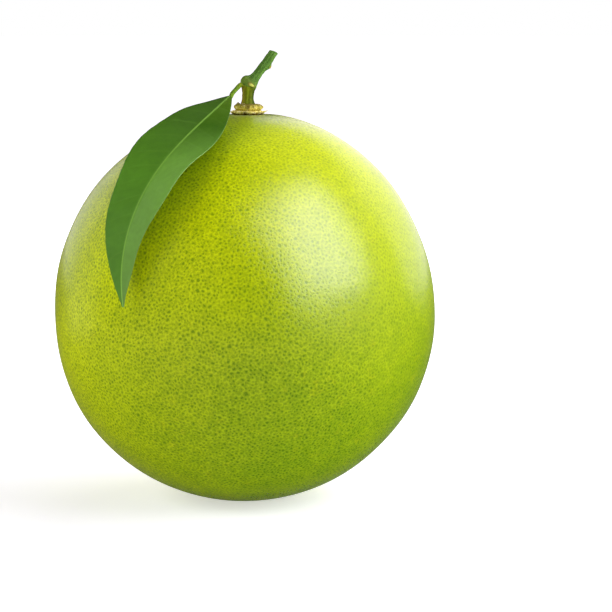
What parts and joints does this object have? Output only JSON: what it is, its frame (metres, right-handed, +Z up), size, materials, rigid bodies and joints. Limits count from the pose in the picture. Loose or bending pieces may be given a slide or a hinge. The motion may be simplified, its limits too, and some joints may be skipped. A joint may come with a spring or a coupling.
{
  "type": "pomelo",
  "caption": "Whole green-yellow pomelo, nearly round, with a dried calyx, a short cut twig and one pointed leaf over its shoulder, resting on a small flat spot.",
  "frame": {"origin": "centre of the small flat spot at the blossom end, where the fruit rests", "axes": "+Z up along the core to the stem end, -Y towards the side that the leaf hangs on, +X the way the twig leans"},
  "size_m": [0.1636, 0.1644, 0.1919],
  "materials": {
    "rind": "waxy semi-gloss rind, finely dimpled with darker oil glands",
    "calyx": "dry and matte, straw to dark brown",
    "twig": "satin green bark",
    "petiole": "satin green stalk",
    "leaf": "satin leaf with a paler midrib"
  },
  "bodies": {
    "root": {"fruit": "rind", "calyx": "calyx", "twig": "twig", "petiole": "petiole", "leaf_blade": "leaf"}
  },
  "joints": []
}
